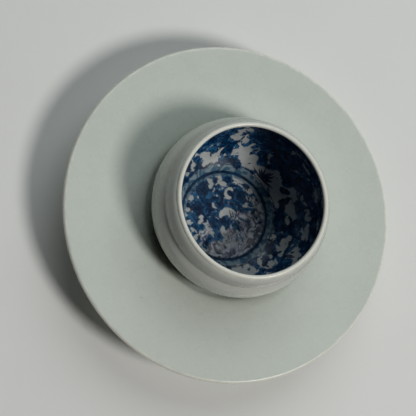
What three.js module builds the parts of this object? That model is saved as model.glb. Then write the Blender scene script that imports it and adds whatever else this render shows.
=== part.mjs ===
// A handleless tea cup on a wide-brimmed stand, both of glazed porcelain.
// The cup is a squat bowl with a collar round its mouth, a soft shoulder below the collar and a
// low foot ring. It stands loose in the round well in the middle of the stand, and lifts straight
// out of it.
// Lengths are millimetres and +Z is up. The origin is on the shared axis, in the plane that the
// stand's foot ring rests on. Each piece is one closed section turned about that axis.

import * as THREE from 'three';

// ---- Stand ----
const STAND_RADIUS = 90;
const STAND_RIM_HEIGHT = 28.5;
const BRIM_SLOPE_DROP = 3.4;
const BRIM_EDGE_THICKNESS = 2.8;
const STAND_WALL = 4.2;
const WELL_FLOOR_RADIUS = 31;
const WELL_FLOOR_HEIGHT = 9;
const WELL_MOUTH_RADIUS = 50;
const STAND_FOOT_OUTER_RADIUS = 37;
const STAND_FOOT_WIDTH = 4;
const STAND_FOOT_RECESS = 4.8;
const STAND_FOOT_BEVEL = 0.5;
const STAND_FOOT_COVE = 1;
const STAND_UNDERSIDE_START = 1.2;

// ---- Cup ----
const CUP_LIP_HEIGHT = 63.6;
const CUP_LIP_RADIUS = 40.2;
const CUP_LIP_THICKNESS = 2.4;
const CUP_COLLAR_RADIUS = 43.5;
const CUP_COLLAR_HEIGHT = 55;
const CUP_GROOVE_RADIUS = 43.1;
const CUP_GROOVE_HEIGHT = 52.8;
const CUP_BELLY_RADIUS = 46.9;
const CUP_BELLY_HEIGHT = 43.5;
const CUP_WALL = 3;
const CUP_FLOOR_HEIGHT = 15.5;
const CUP_FLOOR_RADIUS = 24.7;
const CUP_FLOOR_STEP = 0.5;
const CUP_FOOT_OUTER_RADIUS = 28;
const CUP_FOOT_WIDTH = 3.5;
const CUP_FOOT_RECESS = 2.7;
const CUP_FOOT_BEVEL = 0.4;
const CUP_FOOT_COVE = 0.6;

// ---- Fit and fineness ----
const SEAT_GAP = 0.3;
const STAND_SEGMENTS = 72;
const CUP_SEGMENTS = 60;

const point = (r, z) => new THREE.Vector2(r, z);

// A smooth line through a few points, cut into equal steps.
function smooth(points, steps) {
  return new THREE.SplineCurve(points).getSpacedPoints(steps);
}

// A half-round edge from one point to another, bulging to the right of the way it runs.
function roundEdge(from, to, steps) {
  const centre = from.clone().add(to).multiplyScalar(0.5);
  const spoke = from.clone().sub(centre);
  return Array.from({ length: steps - 1 }, (_, i) =>
    spoke.clone().rotateAround(point(0, 0), ((i + 1) / steps) * Math.PI).add(centre));
}

// The same line moved sideways, by a distance that may change along it. A positive distance
// moves it to the right of the way it runs.
function offset(line, distanceAt) {
  return line.map((p, i) => {
    const along = line[Math.min(i + 1, line.length - 1)].clone().sub(line[Math.max(i - 1, 0)]);
    const side = point(along.y, -along.x).normalize();
    return p.clone().add(side.multiplyScalar(distanceAt(i / (line.length - 1))));
  });
}

// Turns a closed section, listed from the axis round the underside and back to the axis over
// the top, into a solid about +Z.
function turned(name, section, segments, material) {
  const mesh = new THREE.Mesh(new THREE.LatheGeometry(section, segments), material);
  mesh.name = name;
  mesh.rotation.x = Math.PI / 2;
  return mesh;
}

function makeStand(material) {
  const brimInnerHeight = STAND_RIM_HEIGHT - BRIM_SLOPE_DROP;
  const footInner = STAND_FOOT_OUTER_RADIUS - STAND_FOOT_WIDTH;
  // The well wall runs up in a gentle S from the well floor to the brim.
  const top = smooth([
    point(WELL_FLOOR_RADIUS, WELL_FLOOR_HEIGHT),
    point(37.5, 12.2),
    point(43.6, 20.2),
    point(WELL_MOUTH_RADIUS, brimInnerHeight),
    point(70, brimInnerHeight + 0.35 * BRIM_SLOPE_DROP),
    point(STAND_RADIUS - BRIM_EDGE_THICKNESS / 2, STAND_RIM_HEIGHT),
  ], 16);
  const thickness = (t) => STAND_WALL + (BRIM_EDGE_THICKNESS - STAND_WALL) * t;
  const under = offset(top, thickness)
    .filter((p) => p.x > STAND_FOOT_OUTER_RADIUS + STAND_UNDERSIDE_START);
  const section = [
    point(0, STAND_FOOT_RECESS),
    point(footInner - STAND_FOOT_COVE, STAND_FOOT_RECESS),
    point(footInner, STAND_FOOT_RECESS - STAND_FOOT_COVE),
    point(footInner, STAND_FOOT_BEVEL),
    point(footInner + STAND_FOOT_BEVEL, 0),
    point(STAND_FOOT_OUTER_RADIUS - STAND_FOOT_BEVEL, 0),
    point(STAND_FOOT_OUTER_RADIUS, STAND_FOOT_BEVEL),
    ...under,
    ...roundEdge(under[under.length - 1], top[top.length - 1], 4),
    ...top.toReversed(),
    point(0, WELL_FLOOR_HEIGHT),
  ];
  return turned('saucer_stand', section, STAND_SEGMENTS, material);
}

function makeCup(material) {
  const seat = WELL_FLOOR_HEIGHT + SEAT_GAP;
  const footInner = CUP_FOOT_OUTER_RADIUS - CUP_FOOT_WIDTH;
  // From just outside the foot ring, round the bowl and over the shoulder to the groove.
  const belly = smooth([
    point(CUP_FOOT_OUTER_RADIUS + 1, seat + 4.2),
    point(36.5, 18.2),
    point(43.2, 27.8),
    point(CUP_BELLY_RADIUS - 0.3, CUP_BELLY_HEIGHT - 5),
    point(CUP_BELLY_RADIUS, CUP_BELLY_HEIGHT),
    point(CUP_BELLY_RADIUS - 0.8, CUP_BELLY_HEIGHT + 4.9),
    point(CUP_GROOVE_RADIUS + 1.4, CUP_GROOVE_HEIGHT - 1.4),
    point(CUP_GROOVE_RADIUS, CUP_GROOVE_HEIGHT),
  ], 15);
  // From the groove up to the lip, leaning in.
  const collar = smooth([
    point(CUP_COLLAR_RADIUS - 0.3, CUP_COLLAR_HEIGHT - 1.3),
    point(CUP_COLLAR_RADIUS, CUP_COLLAR_HEIGHT),
    point(CUP_COLLAR_RADIUS - 0.3, CUP_COLLAR_HEIGHT + 2.2),
    point(CUP_COLLAR_RADIUS - 1.1, CUP_COLLAR_HEIGHT + 4.6),
    point(CUP_COLLAR_RADIUS - 2.1, CUP_COLLAR_HEIGHT + 6.3),
    point(CUP_LIP_RADIUS, CUP_LIP_HEIGHT - CUP_LIP_THICKNESS / 2),
  ], 6);
  // The inside of the bowl, from the floor up to the lip.
  const inner = smooth([
    point(CUP_FLOOR_RADIUS + 0.6, CUP_FLOOR_HEIGHT + CUP_FLOOR_STEP),
    point(34.5, 21.2),
    point(40.6, 29),
    point(CUP_BELLY_RADIUS - CUP_WALL, CUP_BELLY_HEIGHT - 2.7),
    point(40.6, 53.4),
    point(CUP_LIP_RADIUS - CUP_LIP_THICKNESS, CUP_LIP_HEIGHT - CUP_LIP_THICKNESS / 2),
  ], 12);
  const section = [
    point(0, seat + CUP_FOOT_RECESS),
    point(footInner - CUP_FOOT_COVE, seat + CUP_FOOT_RECESS),
    point(footInner, seat + CUP_FOOT_RECESS - CUP_FOOT_COVE),
    point(footInner, seat),
    point(CUP_FOOT_OUTER_RADIUS - CUP_FOOT_BEVEL, seat),
    point(CUP_FOOT_OUTER_RADIUS, seat + CUP_FOOT_BEVEL),
    ...belly,
    ...collar,
    ...roundEdge(collar[collar.length - 1], inner[inner.length - 1], 6),
    ...inner.toReversed(),
    point(CUP_FLOOR_RADIUS, CUP_FLOOR_HEIGHT),
    point(0, CUP_FLOOR_HEIGHT),
  ];
  return turned('cup', section, CUP_SEGMENTS, material);
}

const paleGlaze = new THREE.MeshStandardMaterial({ color: 0xc4ccc4, roughness: 0.22, metalness: 0 });
const cupGlaze = new THREE.MeshStandardMaterial({ color: 0xbfc8c2, roughness: 0.22, metalness: 0 });

const teaCupOnStand = new THREE.Group();
teaCupOnStand.add(makeStand(paleGlaze), makeCup(cupGlaze));

export default teaCupOnStand;
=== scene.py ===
"""The looks of a porcelain tea cup on its wide-brimmed stand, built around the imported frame.

The stand and the cup are turned again here as fine meshes on the frame's own sizes and glazed in
a pale green-white. The cup's inside is painted in cobalt: brush marks are laid on the surface,
each vertex keeps its distance to the nearest mark, and the material turns that into ink.
"""

import math

import bpy
import numpy as np
from mathutils import Matrix, Vector


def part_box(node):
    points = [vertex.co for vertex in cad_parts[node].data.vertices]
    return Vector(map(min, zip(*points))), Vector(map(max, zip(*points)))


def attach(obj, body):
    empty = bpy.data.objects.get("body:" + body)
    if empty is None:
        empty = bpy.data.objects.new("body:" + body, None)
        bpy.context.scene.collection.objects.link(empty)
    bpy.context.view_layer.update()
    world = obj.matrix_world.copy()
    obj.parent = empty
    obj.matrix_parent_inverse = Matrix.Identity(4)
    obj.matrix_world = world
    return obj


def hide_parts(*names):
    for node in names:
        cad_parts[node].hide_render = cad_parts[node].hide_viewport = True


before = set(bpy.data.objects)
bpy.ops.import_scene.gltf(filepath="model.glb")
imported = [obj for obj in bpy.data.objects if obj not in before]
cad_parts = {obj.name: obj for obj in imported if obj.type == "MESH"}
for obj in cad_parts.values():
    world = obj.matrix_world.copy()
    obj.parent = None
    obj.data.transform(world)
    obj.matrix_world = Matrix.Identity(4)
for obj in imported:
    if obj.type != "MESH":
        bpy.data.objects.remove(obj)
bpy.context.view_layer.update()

# ---- Sizes, from the frame ----
MM = 0.001
_, stand_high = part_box("saucer_stand")
cup_low, cup_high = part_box("cup")
STAND_RADIUS = stand_high.x / MM
RIM_HEIGHT = stand_high.z / MM
LIP_HEIGHT = cup_high.z / MM
CUP_SEAT = cup_low.z / MM

# ---- Section sizes in millimetres; a pair is a radius and a height ----
BRIM_DROP = 3.4
BRIM_EDGE = 2.8
BRIM_LEAN_REACH = 0.16  # the brim leans, so its half-round edge reaches this much further out
STAND_WALL = 4.2
STAND_FOOT_RADIUS = 37
STAND_FOOT_WIDTH = 4
STAND_FOOT_RECESS = 4.8
STAND_FOOT_COVE = 1
STAND_FOOT_BEVEL = 0.5
STAND_UNDERSIDE_START = 1.2
WELL_FLOOR = (31, 9)
WELL_MOUTH_RADIUS = 50
CUP_FLOOR = (24.7, 15.5)
CUP_FOOT_RADIUS = 28
CUP_FOOT_WIDTH = 3.5
CUP_FOOT_RECESS = 2.7
CUP_FOOT_COVE = 0.6
CUP_FOOT_BEVEL = 0.4
LIP_THICKNESS = 2.4
LIP_RADIUS = 40.2
BARE_MARGIN = 0.1  # round the foot rings' bare clay

# ---- The painted skins, in millimetres ----
WALL_FOOT = (24.6, 15.52)
WALL_TOP_GAP = 2.0
SKIN = 0.25
SKIN_SINK = 0.12  # how far the glazed cup lies under them
FLOOR_OVERLAP = 0.2
GROUND_LINE = 17.0  # the height that the thin wash round the floor ends at
RING = (24.0, 1.0)  # the middle and the half width of the painted circle
# Where, in mm along X, a painted reflection of a soft light starts on the floor picture.
REFLECTION_FROM = 8.5
WALL_GAPS = 0.325
FLOOR_GAPS = 0.37

# ---- Where the glaze changes, in millimetres ----
STAND_THIN_EDGE = (88.3, 89.6)
CUP_THIN_EDGE = (61.6, 63.2)
# COLLAR_BAND is where the cup is coloured darker and greyer: partly the glaze's own tone, partly painted
# shade on the collar below the lip.
COLLAR_BAND = (53.0, 62.0)

# ---- Fineness ----
GLAZE_SEGMENTS = 256
WALL_SEGMENTS = 480
FLOOR_SEGMENTS = 400
WALL_STEPS = 170
FLOOR_RINGS = 90

# ---- Camera: where the stand's centre is seen, and how its axis leans in the picture ----
CAMERA_TILT = math.radians(20.3)
AXIS_LEAN = math.radians(29.1)
CAMERA_LENS = 103.8
CENTRE_SEEN = Vector((0.1413, -0.0196, -7.032))
NOMINAL_RADIUS = 90 * MM


def place_camera():
    """Looks down on the stand from its front, a little off its axis, and leans so that the axis
    points up and to the right of the picture. CENTRE_SEEN is in stand radii."""
    z_seen = Vector((math.sin(CAMERA_TILT) * math.cos(AXIS_LEAN),
                     math.sin(CAMERA_TILT) * math.sin(AXIS_LEAN),
                     math.cos(CAMERA_TILT)))
    y_seen = (z_seen * math.cos(CAMERA_TILT) - Vector((0, 0, 1))).normalized()
    x_seen = y_seen.cross(z_seen)
    turn = Matrix((x_seen, y_seen, z_seen))
    place = Vector((0, 0, RIM_HEIGHT * MM)) - turn @ (CENTRE_SEEN * NOMINAL_RADIUS)
    camera = bpy.data.objects.new("camera", bpy.data.cameras.new("camera"))
    bpy.context.scene.collection.objects.link(camera)
    camera.matrix_world = Matrix.Translation(place) @ turn.to_4x4()
    camera.data.lens = CAMERA_LENS
    camera.data.sensor_width = 36
    bpy.context.scene.camera = camera


# ---- Turned shapes ----
def smooth(points, steps):
    """A Catmull-Rom line through the points, cut into equal steps."""
    p = np.array(points, float)
    p = np.vstack([2 * p[0] - p[1], p, 2 * p[-1] - p[-2]])
    line = []
    for a, b, c, d in zip(p[:-3], p[1:-2], p[2:-1], p[3:]):
        t = np.linspace(0, 1, 60, endpoint=False)[:, None]
        line.append(0.5 * (2 * b + (c - a) * t + (2 * a - 5 * b + 4 * c - d) * t ** 2
                           + (3 * b - a - 3 * c + d) * t ** 3))
    line = np.vstack([*line, p[-2]])
    run = run_along(line)
    at = np.linspace(0, run[-1], steps + 1)
    return np.c_[np.interp(at, run, line[:, 0]), np.interp(at, run, line[:, 1])]


def run_along(line):
    """The length of a line up to each of its points."""
    return np.concatenate([[0], np.cumsum(np.linalg.norm(np.diff(line, axis=0), axis=1))])


def round_edge(start, end, steps):
    """A half-round edge from one point to another, bulging to the right of the way it runs."""
    centre = (np.array(start) + end) / 2
    spoke = np.array(start) - centre
    turn = np.linspace(0, math.pi, steps + 1)[1:-1]
    return np.c_[centre[0] + spoke[0] * np.cos(turn) - spoke[1] * np.sin(turn),
                 centre[1] + spoke[0] * np.sin(turn) + spoke[1] * np.cos(turn)]


def offset(line, distances):
    """The same line moved to the right of the way it runs."""
    along = np.gradient(line, axis=0)
    side = np.c_[along[:, 1], -along[:, 0]]
    side /= np.linalg.norm(side, axis=1)[:, None]
    return line + side * np.broadcast_to(distances, len(line))[:, None]


def turned(name, section, segments, closed=False):
    """A piece turned about +Z from a section in the r, z plane, in millimetres. A point on the
    axis becomes one vertex, and a closed section makes a ring."""
    angle = np.linspace(0, 2 * math.pi, segments, endpoint=False)
    verts, rows = [], []
    count = 0
    for r, z in section:
        if r < 1e-6:
            ring = np.array([[0, 0, z]])
            rows.append(np.full(segments, count))
        else:
            ring = np.c_[r * np.cos(angle), r * np.sin(angle), angle * 0 + z]
            rows.append(count + np.arange(segments))
        verts.append(ring)
        count += len(ring)
    faces = []
    for low, high in zip(rows, rows[1:] + (rows[:1] if closed else [])):
        quads = np.c_[low, np.roll(low, -1), np.roll(high, -1), high]
        if low[0] == low[-1]:
            quads = quads[:, 1:]
        elif high[0] == high[-1]:
            quads = quads[:, :3]
        faces += quads.tolist()
    mesh = bpy.data.meshes.new(name)
    mesh.from_pydata((np.vstack(verts) * MM).tolist(), [], faces)
    mesh.shade_smooth()
    mesh.update()
    piece = bpy.data.objects.new(name, mesh)
    bpy.context.scene.collection.objects.link(piece)
    return piece


def stand_section():
    """From the axis round the foot ring, out under the brim and back over the well."""
    brim_inner = RIM_HEIGHT - BRIM_DROP
    top = smooth([WELL_FLOOR, (37.5, 12.2), (43.6, 20.2), (WELL_MOUTH_RADIUS, brim_inner),
                  (70, brim_inner + 0.35 * BRIM_DROP),
                  (STAND_RADIUS - BRIM_LEAN_REACH - BRIM_EDGE / 2, RIM_HEIGHT)], 110)
    under = offset(top, np.linspace(STAND_WALL, BRIM_EDGE, len(top)))
    under = under[under[:, 0] > STAND_FOOT_RADIUS + STAND_UNDERSIDE_START]
    foot_inner = STAND_FOOT_RADIUS - STAND_FOOT_WIDTH
    foot = [(0, STAND_FOOT_RECESS),
            (foot_inner - STAND_FOOT_COVE, STAND_FOOT_RECESS),
            (foot_inner, STAND_FOOT_RECESS - STAND_FOOT_COVE),
            (foot_inner, STAND_FOOT_BEVEL),
            (foot_inner + STAND_FOOT_BEVEL, 0),
            (STAND_FOOT_RADIUS - STAND_FOOT_BEVEL, 0),
            (STAND_FOOT_RADIUS, STAND_FOOT_BEVEL)]
    return np.vstack([foot, under, round_edge(under[-1], top[-1], 12), top[::-1], [(0, WELL_FLOOR[1])]])


def cup_inner_line(steps):
    """The cup's inner wall, from the ring round its floor up to the lip."""
    return smooth([(25.3, 16), (34.5, 21.2), (40.6, 29), (43.9, 40.8), (40.6, 53.4),
                   (LIP_RADIUS - LIP_THICKNESS, LIP_HEIGHT - LIP_THICKNESS / 2)], steps)


def cup_section():
    """From the axis round the foot ring, up the belly, over the shoulder, the groove, the collar
    and the lip, and back down inside to the floor, which lies a little under the painted skins."""
    belly = smooth([(CUP_FOOT_RADIUS + 1, CUP_SEAT + 4.2), (36.5, 18.2), (43.2, 27.8), (46.6, 38.5),
                    (46.9, 43.5), (46.1, 48.4), (44.5, 51.4), (43.3, 52.7)], 110)
    collar = smooth([(43.3, 53.8), (43.45, 55), (43.2, 57.2), (42.4, 59.6), (41.4, 61.3),
                     (LIP_RADIUS, LIP_HEIGHT - LIP_THICKNESS / 2)], 40)
    outer = np.vstack([belly, collar])
    inner = cup_inner_line(90)
    sunk = offset(inner, SKIN_SINK * np.clip(LIP_HEIGHT - LIP_THICKNESS - inner[:, 1], 0, 1))
    foot_inner = CUP_FOOT_RADIUS - CUP_FOOT_WIDTH
    foot = [(0, CUP_SEAT + CUP_FOOT_RECESS),
            (foot_inner - CUP_FOOT_COVE, CUP_SEAT + CUP_FOOT_RECESS),
            (foot_inner, CUP_SEAT + CUP_FOOT_RECESS - CUP_FOOT_COVE),
            (foot_inner, CUP_SEAT),
            (CUP_FOOT_RADIUS - CUP_FOOT_BEVEL, CUP_SEAT),
            (CUP_FOOT_RADIUS, CUP_SEAT + CUP_FOOT_BEVEL)]
    floor = [(CUP_FLOOR[0], CUP_FLOOR[1] - SKIN_SINK), (0, CUP_FLOOR[1] - SKIN_SINK)]
    return np.vstack([foot, outer, round_edge(outer[-1], inner[-1], 16), sunk[::-1], floor])


def painted_wall():
    """A skin on the wall, from the crease round the floor to just under the lip."""
    front = np.vstack([WALL_FOOT, cup_inner_line(WALL_STEPS)])
    front = front[front[:, 1] < LIP_HEIGHT - WALL_TOP_GAP]
    back = offset(front[::6], SKIN)
    return turned("cup_painted_wall", np.vstack([front[::-1], back]), WALL_SEGMENTS, closed=True)


def painted_floor():
    """A skin on the floor, a flat disc."""
    height = CUP_FLOOR[1]
    rings = np.linspace(0, CUP_FLOOR[0] + FLOOR_OVERLAP, FLOOR_RINGS)
    front = np.c_[rings, np.full(FLOOR_RINGS, height)]
    back = [(0, height - SKIN), (rings[-1] / 2, height - SKIN), (rings[-1], height - SKIN)]
    return turned("cup_painted_floor", np.vstack([back, front[::-1]]), FLOOR_SEGMENTS)


# ---- Brush marks ----
WALL_SEED = 11
FLOOR_SEED = 5


class Painting:
    """Brush marks on a surface, kept in layers. A mark is a chain of points with radii, all in
    millimetres, laid down at a spot and turned with it."""

    def __init__(self, to_point):
        self.to_point = to_point
        self.layers = {"dark": [], "wash": [], "blank": [], "figure": []}

    def mark(self, layer, spot, chain):
        points = [(np.array(self.to_point(spot, x, y)), r) for x, y, r in chain]
        if len(points) == 1:
            points *= 2
        for (a, ra), (b, rb) in zip(points, points[1:]):
            self.layers[layer].append((a, b, ra, rb))

    def bake(self, piece):
        count = len(piece.data.vertices)
        points = np.empty(count * 3)
        piece.data.vertices.foreach_get("co", points)
        points = points.reshape(-1, 3) / MM
        for layer, marks in self.layers.items():
            attribute = piece.data.attributes.new(layer, "FLOAT", "POINT")
            attribute.data.foreach_set("value", nearest_edge(points, marks).astype(np.float32))


def nearest_edge(points, marks, reach=2.0, cell=5, chunk=64):
    """Each point's distance to the edge of the nearest mark, negative inside it and no more than
    reach. Points are taken in chunks that lie close together, so that a mark is measured only
    against the chunks near it."""
    order = np.lexsort(np.floor(points / cell).T)
    chunks = np.array_split(order, max(1, len(order) // chunk))
    centres = np.array([points[c].mean(0) for c in chunks])
    spans = np.array([np.linalg.norm(points[c] - m, axis=1).max() for c, m in zip(chunks, centres)])
    away = np.full(len(points), reach)
    for a, b, ra, rb in marks:
        half = np.linalg.norm(b - a) / 2 + max(ra, rb) + reach
        near = np.flatnonzero(np.linalg.norm(centres - (a + b) / 2, axis=1) < spans + half)
        if len(near) == 0:
            continue
        index = np.concatenate([chunks[k] for k in near])
        step = b - a
        p = points[index] - a
        t = np.clip(p @ step / max(step @ step, 1e-9), 0, 1)
        gap = np.linalg.norm(p - t[:, None] * step, axis=1) - (ra + (rb - ra) * t)
        away[index] = np.minimum(away[index], gap)
    return away


def leaf(length, width, angle, bend=0.0, start=(0, 0)):
    """A pointed brush touch, widest near its middle, that turns by bend on its way."""
    tip = 0.08
    x, y = start
    chain = []
    for k in range(4):
        t = k / 3
        chain.append((x, y, tip + width / 2 * math.sin(math.pi * (0.12 + 0.85 * t)) ** 1.2))
        heading = angle + bend * t
        x += length / 3 * math.cos(heading)
        y += length / 3 * math.sin(heading)
    return chain


def blob(radius, longer=1.0):
    """A round touch, or one that is longer sideways than it is high."""
    reach = radius * (longer - 1)
    return [(-reach, 0, radius), (reach, 0, radius)]


def tuft(painting, spot, count, length, spread, width, rng):
    """Blades of grass that spread upwards from one root."""
    for k in range(count):
        angle = math.pi / 2 + spread * (k / (count - 1) - 0.5)
        blade = leaf(length * rng.uniform(0.75, 1.1), width, angle, rng.uniform(-0.5, 0.5))
        painting.mark("figure", spot, blade)


def foliage(painting, spot, radius, rng, density=1.0):
    """A mass of leaves: a broad wash, dark lumps in it, and pointed touches over its edge."""
    touches = int(density * 0.6 * radius ** 2)
    for _ in range(4):
        a, d = rng.uniform(0, 2 * math.pi), radius * rng.uniform(0.1, 0.7)
        x, y = d * math.cos(a), d * math.sin(a)
        painting.mark("wash", spot, [(x, y, radius * rng.uniform(0.7, 0.95))])
        painting.mark("dark", spot, [(x, y, radius * rng.uniform(0.25, 0.45))])
    for _ in range(touches):
        a, d = rng.uniform(0, 2 * math.pi), radius * math.sqrt(rng.uniform(0, 1.4))
        touch = leaf(rng.uniform(1.8, 4.0), rng.uniform(0.8, 1.5), rng.uniform(0, 2 * math.pi),
                     rng.uniform(-1, 1), (d * math.cos(a), d * math.sin(a)))
        painting.mark("dark", spot, touch)


def reserve(painting, spot, radius, longer, rng):
    """A place left blank, with a wandering outline."""
    heading = rng.uniform(-0.6, 0.6)
    x, y, chain = 0, 0, []
    for _ in range(2 + round(longer)):
        chain.append((x, y, radius * rng.uniform(0.45, 1.0)))
        x += radius * 0.9 * math.cos(heading)
        y += radius * 0.9 * math.sin(heading)
        heading += rng.uniform(-1.1, 1.1)
    shift = sum(c[0] for c in chain) / len(chain)
    painting.mark("blank", spot, [(cx - shift, cy, r) for cx, cy, r in chain])


def bough(painting, spot, path, thick, thin):
    """A trunk or a branch, thick at its root."""
    line = smooth(path, 3 * len(path))
    radii = np.linspace(thick, thin, len(line)) / 2
    painting.mark("dark", spot, [(x, y, r) for (x, y), r in zip(line, radii)])


def rock(painting, spot, size, rng):
    """Heaped stones: washed lumps with dark creases and dots."""
    for k in range(5):
        x, y = (k - 2) * size * 0.42, size * rng.uniform(0, 0.5)
        painting.mark("wash", spot, [(x, y, size * rng.uniform(0.28, 0.42))])
        crease = leaf(size * rng.uniform(0.6, 1.0), size * 0.2, rng.uniform(0.3, 2.6), rng.uniform(-1, 1),
                      start=(x, y - size * 0.2))
        painting.mark("dark", spot, crease)
        painting.mark("dark", spot, [(x + rng.uniform(-1, 1), y + size * 0.4, rng.uniform(0.25, 0.5))])


WALL_LINE = cup_inner_line(200)
WALL_RUN = run_along(WALL_LINE)


def wall_point(spot, x, y):
    """A step of x mm round the wall and y mm up it, from a spot (azimuth in degrees, mm up)."""
    run = spot[1] + y
    r = np.interp(run, WALL_RUN, WALL_LINE[:, 0])
    z = np.interp(run, WALL_RUN, WALL_LINE[:, 1])
    azimuth = math.radians(spot[0]) - x / r
    return r * math.cos(azimuth), r * math.sin(azimuth), z


def floor_point(spot, x, y):
    return spot[0] + x, spot[1] + y, CUP_FLOOR[1]


# Half of the wall: leaf masses and places left blank, each (azimuth in degrees, mm up the wall,
# radius in mm, and for a blank how many times longer it is than wide).
WALL_MASSES = [
    (47, 13, 3.6), (54, 17, 3.4), (66, 18, 3.6), (57, 28, 6.0), (75, 26, 5.4), (85, 22, 4.8),
    (92, 18, 5.0), (103, 18, 5.4), (111, 25, 6.0), (97, 27, 6.0), (121, 19, 4.2), (128, 25, 5.2),
    (121, 32, 6.0), (134, 33, 4.6), (146, 4.5, 4.6), (138, 2.5, 3.2), (157, 18, 5.0), (165, 21, 5.0),
    (170, 28, 5.6), (151, 26, 3.2), (174, 15, 3.6), (33, 30, 5.4), (17, 19, 4.2), (38, 23, 3.0),
    (150, 11, 2.4), (8, 24, 4.6), (38, 9, 3.2), (2, 6, 3.6), (24, 5, 3.0), (45, 29, 4.0),
    (180, 30, 5.2), (54, 4, 5.0), (10, 18, 3.0),
]
WALL_BLANKS = [
    (129, 8.5, 2.8, 2.4), (119, 5.5, 1.9, 1.6), (142, 26, 1.7, 3.0), (146, 20.5, 1.5, 2.0),
    (167, 10, 2.4, 3.2), (189, 6, 1.3, 1.0), (72, 9, 3.2, 2.8), (58, 23, 2.0, 1.6),
    (46, 24, 2.6, 2.2), (28, 20.5, 2.4, 1.6), (27, 12, 1.8, 1.6), (9, 12, 2.6, 1.8),
    (95, 10, 2.0, 2.2), (86, 6.5, 2.0, 1.6), (14, 4.5, 1.1, 2.0), (91, 33, 1.8, 2.0),
    (70, 32, 1.4, 2.0), (36, 4.5, 1.3, 2.0), (158, 30, 1.8, 1.6), (105, 33, 1.3, 2.0),
    (105, 7.5, 2.6, 2.6), (50, 33, 1.6, 2.0), (160, 4.6, 1.1, 2.2), (60, 12.5, 1.2, 1.6),
    (182, 20, 1.6, 2.4), (112, 14, 1.1, 1.0), (172, 4.6, 1.0, 2.0), (18, 26, 2.1, 1.6),
    (37, 13, 1.8, 2.4),
]
WALL_BOUGHS = [  # a spot, a path in mm from it, and the thickness at its root and its tip
    ((50, 0), [(0, 0), (1.5, 5), (0.5, 10), (-2.5, 14), (-4, 20)], 3.6, 1.8),
    ((52, 9), [(0, 0), (4, 3), (7, 7), (7, 12), (5, 17)], 2.2, 1.2),
    ((46, 14), [(0, 0), (6, 1.5), (12, 0.5), (20, 2), (27, 1)], 2.0, 1.0),
    ((47, 7), [(0, 0), (-5, 1), (-10, -1), (-14, 1)], 1.8, 0.8),
    ((152, 3), [(0, 0), (4, 3), (9, 3.5), (14, 6)], 2.0, 1.0),
    ((147, 10), [(0, 0), (1, 5), (4, 9), (5, 14)], 2.4, 1.2),
    ((176, 2), [(0, 0), (6, 2), (12, 1.5), (18, 4)], 1.6, 0.8),
    ((100, 13), [(0, 0), (3, 4), (2, 9), (5, 14)], 2.2, 1.0),
    ((22, 14), [(0, 0), (-6, 1), (-12, -0.5), (-16, 1)], 1.6, 0.8),
    ((25, 3), [(0, 0), (2, 6), (0.5, 13), (-1, 21), (1, 28)], 3.4, 1.8),
]
WALL_ROCKS = [(52, 2, 6.5), (146, 1.5, 6), (8, 2, 5)]
WALL_BUDS = [  # azimuth, mm up and which way it points
    (73, 7.4, 0.2), (70, 8.6, 2.9), (75, 6.4, 1.2), (72, 9.6, 2.2), (87, 10.5, 0.1),
    (84, 11.5, 0.5), (113, 13, 2.4), (12, 8.5, 0.3), (9, 7.5, 2.8), (190, 6, 2.5),
]
WALL_PETALS = [(165, 10), (8, 12.5), (29, 20), (62, 22.5), (140, 26), (27, 12)]
CANOPY_FROM = 35
CANOPY_TO = 54
CANOPY_COVER = 0.85  # the rest of it is blank places


def paint_wall(piece):
    """A garden round the wall: rocks and grass on a washed ground line, trees, and leaf masses
    that close up towards the lip. The second half turn repeats the layout with other touches."""
    rng = np.random.default_rng(WALL_SEED)
    painting = Painting(wall_point)
    for half in (0, 180):
        for azimuth, up, radius in WALL_MASSES:
            foliage(painting, (azimuth + half, up), radius, rng)
            if half:
                foliage(painting, (azimuth + half + 8, up - 3), radius * 0.7, rng)
        for azimuth, up, radius, longer in WALL_BLANKS:
            reserve(painting, (azimuth + half, up), radius, longer, rng)
        for azimuth in np.arange(4, 180, 10.0):
            for up in np.arange(CANOPY_FROM, CANOPY_TO, 6.5):
                spot = (azimuth + half + rng.uniform(-4, 4), up + rng.uniform(-2, 2))
                if rng.uniform() < CANOPY_COVER:
                    foliage(painting, spot, rng.uniform(4.0, 5.6), rng, 0.6)
                else:
                    reserve(painting, spot, rng.uniform(1.0, 1.6), 2, rng)
        for (azimuth, up), path, thick, thin in WALL_BOUGHS:
            bough(painting, (azimuth + half, up), path, thick, thin)
        for azimuth, up, size in WALL_ROCKS:
            rock(painting, (azimuth + half, up), size, rng)
        tuft(painting, (105 + half, 4.2), 9, 7.8, 2.8, 1.2, rng)
        tuft(painting, (30 + half, 3), 6, 4.5, 2.2, 0.9, rng)
        for azimuth, up, angle in WALL_BUDS:
            painting.mark("figure", (azimuth + half, up), leaf(4.4, 3.2, angle, 0.4))
        for azimuth, up in WALL_PETALS:
            painting.mark("figure", (azimuth + half, up), leaf(2.6, 1.3, rng.uniform(0, 6), 0.8))
        for azimuth in np.arange(0, 180, 6.0):
            wave = math.sin(azimuth / 9)
            painting.mark("wash", (azimuth + half, 1.2 + 0.5 * wave), blob(1.3, 2.2))
            ripple = leaf(4.2, 0.5, rng.uniform(-0.15, 0.15))
            painting.mark("figure", (azimuth + half, 3.2 + 0.7 * wave), ripple)
    painting.bake(piece)


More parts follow.
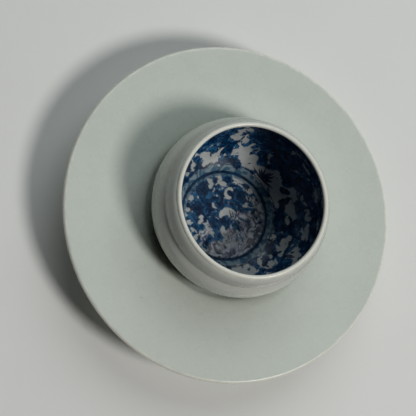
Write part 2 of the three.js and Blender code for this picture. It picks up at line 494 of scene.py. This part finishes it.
# The round picture: the same, each at x and y in mm from the middle of the floor.
FLOOR_MASSES = [
    (-13, -6, 8.5), (-7, -2, 5.0), (-18, -1, 4.5), (-9, -12, 5.0), (-4, 15, 5.0), (-8, 11, 4.2),
    (-11, 4, 4.2), (4, -2, 4.4), (1, -8, 4.0), (-2, -15, 4.2), (-14, -16, 3.6), (8, 14, 4.2),
    (3, 9, 4.0), (6, -17, 4.0), (9, 4, 4.0), (-2, 8, 2.8), (0, 5, 2.2),
]
FLOOR_BLANKS = [
    (-20, 2.5, 1.9, 2.6), (-13, 17, 2.6, 1.8), (-20, 8.5, 2.2, 1.4), (-5, 21, 1.3, 4.0),
    (-13.5, -17.5, 1.4, 2.0), (6, 20.5, 1.2, 2.0), (-7, -2.5, 1.1, 2.4), (-4, -12, 1.3, 2.0),
    (-18, -13, 1.6, 1.4), (3, -12, 1.6, 1.7), (-1, -20, 1.3, 2.0), (-10, -19, 1.3, 1.8),
    (7, -4, 1.7, 1.5), (1, 12.5, 0.7, 3.0), (-15, 8, 1.1, 2.0),
]
PICTURE_TURN = math.radians(61)
FLOOR_BOUGHS = [  # as WALL_BOUGHS
    ((-4, -14), [(0, 0), (2, 5), (5, 9), (8, 13), (6, 19)], 3.0, 1.6),
    ((-12, 13), [(0, 0), (1, -5), (3, -9), (7, -12)], 3.0, 1.6),
    ((-4, 9), [(0, 0), (4, 1), (8, -1), (10, -5)], 2.2, 1.0),
]
FLOWERS = [(2.7, 20, 2.0), (-7.3, 19, 2.4), (-17, 11.6, 1.8), (-19, 6, 1.7), (8.5, 18, 1.9)]
ARCH_SPOT = (0.2, 2.6)
ARCH = [(-4.4, -1.6, 0.9), (-3.0, 0.2, 1.5), (-0.9, 1.2, 2.0), (1.5, 0.9, 2.0), (3.5, -0.6, 1.4),
        (4.6, -2.6, 0.9)]
HOOK_SPOT = (-9, 9)
HALO_RADIUS = 5.4


def upright(chain):
    """A chain of circles, turned to stand upright in the round picture."""
    c, s = math.cos(PICTURE_TURN), math.sin(PICTURE_TURN)
    return [(c * x - s * y, s * x + c * y, r) for x, y, r in chain]


def paint_floor(piece):
    """A round picture of rocks, bent boughs and small flowers, with a blank arch in its middle
    and a blank hook over it."""
    rng = np.random.default_rng(FLOOR_SEED)
    painting = Painting(floor_point)
    for x, y, radius in FLOOR_MASSES:
        foliage(painting, (x, y), radius, rng, 0.6)
    for x, y, radius, longer in FLOOR_BLANKS:
        reserve(painting, (x, y), radius, longer, rng)
    painting.mark("blank", ARCH_SPOT, upright(ARCH))
    for across in (0.6, 2.0, 3.3):
        stroke = [(across, 2.0 - 0.3 * across, 0.2), (across + 0.9, -1.8, 0.45)]
        painting.mark("figure", ARCH_SPOT, upright(stroke))
    hook = [(2.4 * math.cos(t), 2.4 * math.sin(t), 1.0) for t in np.linspace(1.2, 4.6, 6)]
    painting.mark("blank", HOOK_SPOT, upright(hook))
    painting.mark("figure", HOOK_SPOT, blob(1.2, 1.5))
    for spot, path, thick, thin in FLOOR_BOUGHS:
        bough(painting, spot, path, thick, thin)
    for x, y, radius in FLOWERS:
        painting.mark("wash", (x, y), blob(radius * 0.7, 1.2))
        for k in range(6):
            angle = k * math.pi / 3 + rng.uniform(-0.2, 0.2)
            painting.mark("figure", (x, y), leaf(radius * 0.8, 0.9, angle))
    for turn in np.linspace(0.4, 5.4, 9):
        bow = [(HALO_RADIUS * math.cos(turn + t), HALO_RADIUS * math.sin(turn + t), 0.35)
               for t in np.linspace(0, 0.5, 4)]
        painting.mark("figure", (-0.5, 2), bow)
    rock(painting, (6, -4), 4.4, rng)
    rock(painting, (-14, -14), 3.8, rng)
    painting.bake(piece)


# ---- Materials: noise mixes the two colours of a pair ----
STAND_GLAZE = (0.6, 0.642, 0.588), (0.625, 0.665, 0.608)
CUP_GLAZE = (0.55, 0.572, 0.525), (0.58, 0.6, 0.55)
# The collar band's colour: partly the glaze's own greyer tone, partly painted shade on the collar below
# the lip.
COLLAR_GLAZE_AND_SHADE = (0.44, 0.45, 0.42)
THIN_GLAZE = (0.78, 0.775, 0.7)
PINHOLE = (0.16, 0.13, 0.1)
CLAY = (0.52, 0.44, 0.35), (0.66, 0.6, 0.52)
CLAY_SPECK = (0.3, 0.22, 0.16)
GROUND = (0.44, 0.46, 0.455), (0.53, 0.55, 0.54)
THIN_WASH = (0.22, 0.3, 0.345), (0.045, 0.12, 0.19)
WASH_INK = (0.002, 0.048, 0.142), (0.012, 0.115, 0.245)
DARK_INK = (0.0005, 0.010, 0.037), (0.001, 0.039, 0.112)
# Grey to lilac-white of the painted reflection of a soft light on the floor picture.
REFLECTION_PAINT = (0.08, 0.08, 0.115), (0.66, 0.68, 0.75)
FLOOR_COLOUR = (0.82, 0.815, 0.8)
FLOOR_ROUGHNESS = 0.8


class Nodes:
    """A material being wired up. Noise sizes are in millimetres."""

    def __init__(self, name):
        self.material = bpy.data.materials.new(name)
        self.material.use_nodes = True
        self.tree = self.material.node_tree
        self.shader = self.tree.nodes["Principled BSDF"]
        self.place = self.add("TexCoord").outputs["Object"]

    def add(self, kind, inputs=(), **settings):
        node = self.tree.nodes.new("ShaderNode" + kind)
        for key, value in settings.items():
            setattr(node, key, value)
        for key, value in dict(inputs).items():
            self.put(node.inputs[key], value)
        return node

    def put(self, socket, value):
        if isinstance(value, bpy.types.NodeSocket):
            self.tree.links.new(value, socket)
        else:
            socket.default_value = (*value, 1) if isinstance(value, tuple) and len(value) == 3 \
                and socket.type == "RGBA" else value

    def noise(self, size_mm, detail=3.0, rough=0.55, warp=0.0):
        return self.add("TexNoise", {"Vector": self.place, "Scale": 1000 / size_mm, "Detail": detail,
                                     "Roughness": rough, "Distortion": warp}).outputs["Fac"]

    def math(self, operation, a, b=0.0, c=0.0):
        return self.add("Math", {0: a, 1: b, 2: c}, operation=operation).outputs[0]

    def off_axis(self, place):
        """The distance from the shared axis, in metres."""
        squares = [self.math("POWER", place.outputs[key], 2.0) for key in ("X", "Y")]
        return self.math("SQRT", self.math("ADD", *squares))

    def span(self, value, low, high, to_low=0.0, to_high=1.0):
        return self.add("MapRange", {"Value": value, "From Min": low, "From Max": high, "To Min": to_low,
                                     "To Max": to_high}, interpolation_type="SMOOTHSTEP").outputs["Result"]

    def mix(self, share, a, b):
        node = self.add("Mix", data_type="RGBA")
        self.put(node.inputs[0], share)
        self.put(node.inputs[6], a)
        self.put(node.inputs[7], b)
        return node.outputs[2]

    def bump(self, height, distance_mm, strength=1.0):
        node = self.add("Bump", {"Height": height, "Distance": distance_mm * MM, "Strength": strength})
        self.put(self.shader.inputs["Normal"], node.outputs["Normal"])

    def finish(self, colour, roughness):
        self.put(self.shader.inputs["Base Color"], colour)
        self.put(self.shader.inputs["Roughness"], roughness)
        return self.material


def glaze(name, colours, edge, edge_axis, collar=None):
    """Pale green-white glaze, creamier where it thins towards an edge, with pinholes. edge is
    where it starts and ends to thin, in mm from the axis ("r") or up ("z"), and collar the lowest
    and highest mm of a darker, greyer band: partly the glaze's own tone, partly painted shade."""
    n = Nodes(name)
    place = n.add("SeparateXYZ", {"Vector": n.place})
    reach = n.off_axis(place) if edge_axis == "r" else place.outputs["Z"]
    uneven = n.span(n.noise(6), 0.3, 0.7, -0.4 * MM, 0.4 * MM)
    thin = n.span(n.math("ADD", reach, uneven), edge[0] * MM, edge[1] * MM)
    body = n.mix(n.span(n.noise(55, 2.0), 0.35, 0.65), *colours)
    mottled = tuple(0.9 * c for c in colours[0])
    body = n.mix(n.span(n.noise(6.0, 3.0), 0.35, 0.75, 0.0, 0.08), body, mottled)
    # A darker, greyer band over the collar: partly the glaze's own tone, partly painted shade below the
    # lip.
    if collar:
        low = n.span(place.outputs["Z"], collar[0] * MM, (collar[0] + 0.8) * MM)
        high = n.span(place.outputs["Z"], (collar[1] - 2.5) * MM, collar[1] * MM, 1.0, 0.0)
        body = n.mix(n.math("MULTIPLY", low, high), body, COLLAR_GLAZE_AND_SHADE)
    colour = n.mix(thin, body, THIN_GLAZE)
    cells = n.add("TexVoronoi", {"Vector": n.place, "Scale": 62.0})
    pick = n.add("SeparateColor", {"Color": cells.outputs["Color"]}).outputs["Red"]
    chosen = n.math("GREATER_THAN", pick, 0.86)
    pin = n.math("MULTIPLY", n.span(cells.outputs["Distance"], 0.008, 0.022, 1.0, 0.0), chosen)
    colour = n.mix(pin, colour, PINHOLE)
    fine = n.math("MULTIPLY", n.noise(1.3, 2.0), 0.004)
    ripple = n.math("MULTIPLY_ADD", n.noise(22, 1.0), 0.6, fine)
    n.bump(n.math("SUBTRACT", ripple, n.math("MULTIPLY", pin, 0.3)), 0.12, 0.28)
    return n.finish(colour, n.span(n.noise(9), 0.3, 0.7, 0.24, 0.32))


def biscuit(name):
    """The bare, sandy clay of a foot ring."""
    n = Nodes(name)
    colour = n.mix(n.span(n.noise(2.5, 4.0), 0.35, 0.65), *CLAY)
    colour = n.mix(n.span(n.noise(0.5, 2.0), 0.62, 0.75), colour, CLAY_SPECK)
    n.bump(n.noise(0.7, 3.0), 0.15, 0.7)
    return n.finish(colour, n.span(n.noise(1.0), 0.3, 0.7, 0.7, 0.9))


def cobalt(name, gaps, ring=None, reflection_from=None, ground_line=None):
    """Bluish white under clear glaze, with ink where the brush marks are. A loose wash lies
    everywhere but on the blank places. In it the ink runs in curls, from bare gaps to dark, and
    gaps sets how much is bare. ring is the middle and half width in mm of a painted circle. Past
    the mm along X given after ring, a painted reflection of a soft light lies over the ink in grey
    to lilac-white, and the glaze there is rougher. Below ground_line, in mm, there is only a thin
    wash."""
    n = Nodes(name)
    dark, wash, blank, figure = (n.add("Attribute", attribute_name=key).outputs["Fac"]
                                 for key in ("dark", "wash", "blank", "figure"))
    bleed = n.math("SUBTRACT", n.noise(2.2, 1.0, warp=0.4), 0.5)
    ragged = n.math("SUBTRACT", n.noise(5.5, 1.5, 0.45, 1.0), 0.5)
    curl = n.noise(5.6, 1.2, 0.45, 2.0)
    loose = n.span(n.noise(7.5, 3.0, 0.5, 1.0), 0.42, 0.58, -1.0, 1.0)
    pool = n.noise(2.4, 2.0, 0.6, 0.8)
    place = n.add("SeparateXYZ", {"Vector": n.place})

    # Every mark's edge wanders, so that it looks brushed.
    blank = n.math("ADD", blank, n.math("MULTIPLY", ragged, 2.4))
    blank = n.math("ADD", blank, n.math("MULTIPLY", n.math("SUBTRACT", curl, 0.5), -2.4))
    wash = n.math("ADD", n.math("MINIMUM", wash, loose), n.math("MULTIPLY", ragged, 2.0))
    dark = n.math("ADD", dark, n.math("MULTIPLY", n.math("ADD", bleed, ragged), 1.3))
    figure = n.math("ADD", figure, n.math("MULTIPLY", bleed, 0.7))

    ground = n.mix(n.span(n.noise(7, 3.0), 0.35, 0.65), *GROUND)
    thin_wash = n.mix(n.span(curl, 0.36, 0.58), *THIN_WASH)
    wash_ink = n.mix(n.span(pool, 0.34, 0.66), *WASH_INK)
    dark_ink = n.mix(n.span(pool, 0.4, 0.64), *DARK_INK)
    if ground_line is not None:
        above = n.math("ADD", n.math("MULTIPLY_ADD", place.outputs["Z"], 1 / MM, -ground_line),
                       n.math("MULTIPLY", ragged, 3.0))
        blank = n.math("MINIMUM", blank, above)
        ground = n.mix(n.span(above, -0.1, 0.2, 1.0, 0.0), ground, thin_wash)
    painted = n.span(blank, -0.4, 0.5)
    washed = n.math("MULTIPLY", painted, n.span(wash, -0.4, 0.4, 1.0, 0.0))
    flow = n.span(curl, gaps - 0.05, gaps + 0.03, 0.15, 0.97)
    colour = n.mix(n.math("MULTIPLY", washed, flow), ground, wash_ink)
    colour = n.mix(n.math("MULTIPLY", washed, n.span(curl, 0.52, 0.6, 0.0, 0.9)), colour, dark_ink)
    colour = n.mix(n.math("MULTIPLY", painted, n.span(dark, -0.5, 0.25, 0.93, 0.0)), colour, dark_ink)
    colour = n.mix(n.span(figure, -0.3, 0.25, 0.95, 0.0), colour, dark_ink)

    dull = n.span(n.noise(5), 0.3, 0.7, 0.22, 0.3)
    if ring:
        middle, half = ring
        reach = n.math("MULTIPLY", n.off_axis(place), 1 / MM)
        reach = n.math("ADD", reach, n.math("MULTIPLY", ragged, 0.5))
        colour = n.mix(n.span(reach, middle - 2.8, middle - 1.8, 0.0, 0.8), colour, thin_wash)
        away = n.math("SUBTRACT", n.math("ABSOLUTE", n.math("SUBTRACT", reach, middle)), half)
        colour = n.mix(n.span(away, -0.35, 0.3, 0.95, 0.0), colour, dark_ink)
        # Painted reflection: a soft light's reflection painted in grey to lilac-white over the ink inside
        # the ring; the glaze there is also made rougher.
        if reflection_from is not None:
            patchy = n.math("SUBTRACT", n.noise(9, 3.0, 0.6, 1.0), 0.5)
            past = n.math("ADD", n.math("MULTIPLY_ADD", place.outputs["X"], 1 / MM, -reflection_from),
                          n.math("MULTIPLY", patchy, 50.0))
            inside = n.span(reach, middle - 1.6, middle - 0.4, 1.0, 0.0)
            reflection_patch = n.math("MULTIPLY", n.span(past, -3.0, 4.0), inside)
            grey = n.mix(n.span(n.noise(4.5, 4.0, 0.6, 1.6), 0.4, 0.62), *REFLECTION_PAINT)
            colour = n.mix(n.math("MULTIPLY", reflection_patch, n.span(curl, 0.42, 0.52, 0.92, 0.78)), colour, grey)
            dull = n.math("ADD", dull, n.math("MULTIPLY", reflection_patch, 0.15))
    n.put(n.shader.inputs["Specular IOR Level"], 0.24)
    n.bump(n.math("ADD", n.noise(12, 2.0), n.math("MULTIPLY", n.noise(1.6, 3.0), 0.08)), 0.12, 0.5)
    return n.finish(colour, dull)


def plain(name, colour, roughness):
    """One even colour, very slightly cloudy."""
    n = Nodes(name)
    return n.finish(n.mix(n.noise(40), tuple(0.97 * c for c in colour), colour), roughness)


def give(piece, *materials):
    """Gives a piece its materials, in the order of its slots."""
    for material in materials:
        piece.data.materials.append(material)


def bare_foot(piece, bottom, bevel, radius, width):
    """Gives the second material to the bare bottom of a foot ring. Lengths are in mm."""
    for face in piece.data.polygons:
        centre = face.center / MM
        off_axis = math.hypot(centre.x, centre.y)
        in_ring = radius - width - BARE_MARGIN < off_axis < radius + BARE_MARGIN
        if in_ring and centre.z < bottom + bevel + BARE_MARGIN:
            face.material_index = 1


# ---- Studio ----
FLOOR_SIZE = 8


def area(name, azimuth, elevation, distance, size, power, colour):
    """A round soft light aimed at the origin. Angles are in degrees, lengths in metres and power
    in watts."""
    a, e = math.radians(azimuth), math.radians(elevation)
    out = Vector((math.cos(a) * math.cos(e), math.sin(a) * math.cos(e), math.sin(e)))
    light = bpy.data.objects.new(name, bpy.data.lights.new(name, "AREA"))
    light.data.shape = "DISK"
    light.data.size = size
    light.data.energy = power
    light.data.color = colour
    bpy.context.scene.collection.objects.link(light)
    light.location = out * distance
    light.rotation_mode = "QUATERNION"
    light.rotation_quaternion = out.to_track_quat("Z", "Y")


def studio():
    """A soft key from the right, a wide weak light overhead, a faint glow from all round, and a
    pale floor."""
    world = bpy.data.worlds.new("studio")
    world.use_nodes = True
    back = world.node_tree.nodes["Background"]
    back.inputs["Color"].default_value = (0.86, 0.95, 1.0, 1)
    back.inputs["Strength"].default_value = 0.015
    bpy.context.scene.world = world
    bpy.context.scene.view_settings.view_transform = "Standard"
    area("key", 17, 55, 2.0, 0.52, 19.8, (1.0, 0.985, 0.955))
    area("overhead", 135, 47, 1.6, 1.7, 10.8, (0.925, 1.0, 1.0))
    mesh = bpy.data.meshes.new("floor")
    half = FLOOR_SIZE / 2
    corners = [(-half, -half, 0), (half, -half, 0), (half, half, 0), (-half, half, 0)]
    mesh.from_pydata(corners, [], [(0, 1, 2, 3)])
    floor = bpy.data.objects.new("floor", mesh)
    give(floor, plain("floor", FLOOR_COLOUR, FLOOR_ROUGHNESS))
    bpy.context.scene.collection.objects.link(floor)


place_camera()
bare = biscuit("bare_foot")

stand = turned("stand", stand_section(), GLAZE_SEGMENTS)
give(stand, glaze("stand_glaze", STAND_GLAZE, STAND_THIN_EDGE, "r"), bare)
bare_foot(stand, 0, STAND_FOOT_BEVEL, STAND_FOOT_RADIUS, STAND_FOOT_WIDTH)
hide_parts("saucer_stand")
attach(stand, "stand")

cup = turned("cup_body", cup_section(), GLAZE_SEGMENTS)
give(cup, glaze("cup_glaze", CUP_GLAZE, CUP_THIN_EDGE, "z", collar=COLLAR_BAND), bare)
bare_foot(cup, CUP_SEAT, CUP_FOOT_BEVEL, CUP_FOOT_RADIUS, CUP_FOOT_WIDTH)
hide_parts("cup")
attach(cup, "cup")

wall = painted_wall()
paint_wall(wall)
give(wall, cobalt("wall_painting", WALL_GAPS, ground_line=GROUND_LINE))
medallion = painted_floor()
paint_floor(medallion)
give(medallion, cobalt("floor_painting", FLOOR_GAPS, ring=RING, reflection_from=REFLECTION_FROM))
for skin in (wall, medallion):
    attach(skin, "cup")

studio()
